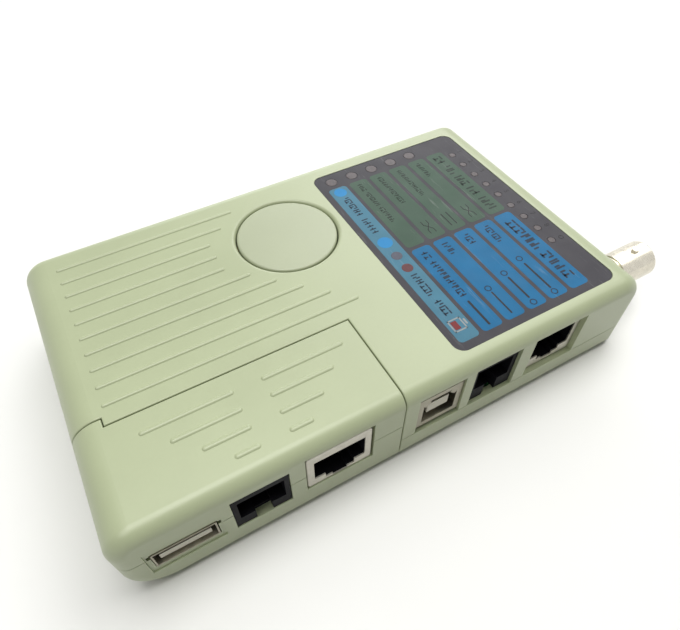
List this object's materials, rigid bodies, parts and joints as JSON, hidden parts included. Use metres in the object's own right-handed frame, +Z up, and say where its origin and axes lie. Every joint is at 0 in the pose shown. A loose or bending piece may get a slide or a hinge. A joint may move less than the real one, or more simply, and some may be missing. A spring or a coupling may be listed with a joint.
{
  "type": "network cable tester",
  "caption": "Hand-held network cable tester: a flat rounded box with a round test button, lamp panel and jacks, and a remote unit that slides off one corner.",
  "frame": {"origin": "centre of the case's flat underside", "axes": "+X along the length towards the coaxial connector, +Y to the back, +Z up out of the lamp panel"},
  "size_m": [0.1456, 0.078, 0.0253],
  "materials": {
    "case_plastic": "fine satin moulded plastic",
    "button_plastic": "satin moulded plastic",
    "label_print": "printed polycarbonate sheet",
    "board_green": "solder mask",
    "chip_black": "moulded epoxy",
    "jack_black": "satin",
    "jack_shield": "bright tinned sheet",
    "contact_gold": "bright",
    "tin_sheet": "bright tinned",
    "insert_white": "satin",
    "nickel": "nickel plate",
    "switch_dark": "satin",
    "lamp_clear": "milky lens",
    "lamp_power": "milky lens",
    "battery_wrap": "printed wrap",
    "screw_steel": "zinc plate"
  },
  "bodies": {
    "master": {"master_top_shell": "case_plastic", "master_bottom_shell": "case_plastic", "label_overlay": "label_print", "switch_body": "switch_dark", "master_board": "board_green", "controller_chip": "chip_black", "logic_chips": "chip_black", "usb_b_shell": "tin_sheet", "usb_b_insert": "insert_white", "bnc_body": "nickel", "bnc_insulator": "insert_white", "bnc_contact": "contact_gold", "battery": "battery_wrap", "battery_terminals": "nickel", "battery_clip": "chip_black", "master_screws": "screw_steel", "phone_jack_body": "jack_black", "network_jack_body": "jack_black", "network_jack_shield": "jack_shield", "phone_jack_contacts": "contact_gold", "network_jack_contacts": "contact_gold", "mode_lamps": "lamp_clear", "pin_lamps": "lamp_clear", "power_lamps": "lamp_power"},
    "button": {"test_button": "button_plastic", "switch_plunger": "switch_dark"},
    "door": {"battery_door": "case_plastic"},
    "remote": {"remote_usb_a_shell": "tin_sheet", "remote_usb_a_insert": "insert_white", "remote_bottom_shell": "case_plastic", "remote_top_shell": "case_plastic", "remote_board": "board_green", "remote_screws": "screw_steel", "remote_phone_jack_body": "jack_black", "remote_network_jack_body": "jack_black", "remote_network_jack_shield": "jack_shield", "remote_phone_jack_contacts": "contact_gold", "remote_network_jack_contacts": "contact_gold"}
  },
  "joints": [
    {"name": "test_button_press", "type": "slide", "parent": "master", "child": "button", "axis": [0, 0, -1], "range_m": [0, 0.001], "stiffness_N_per_m": 1500},
    {"name": "remote_undock", "type": "slide", "parent": "master", "child": "remote", "axis": [-1, 0, 0], "range_m": [0, 0.066]},
    {"name": "battery_door_slide", "type": "slide", "parent": "master", "child": "door", "axis": [-1, 0, 0], "range_m": [0, 0.062]}
  ]
}
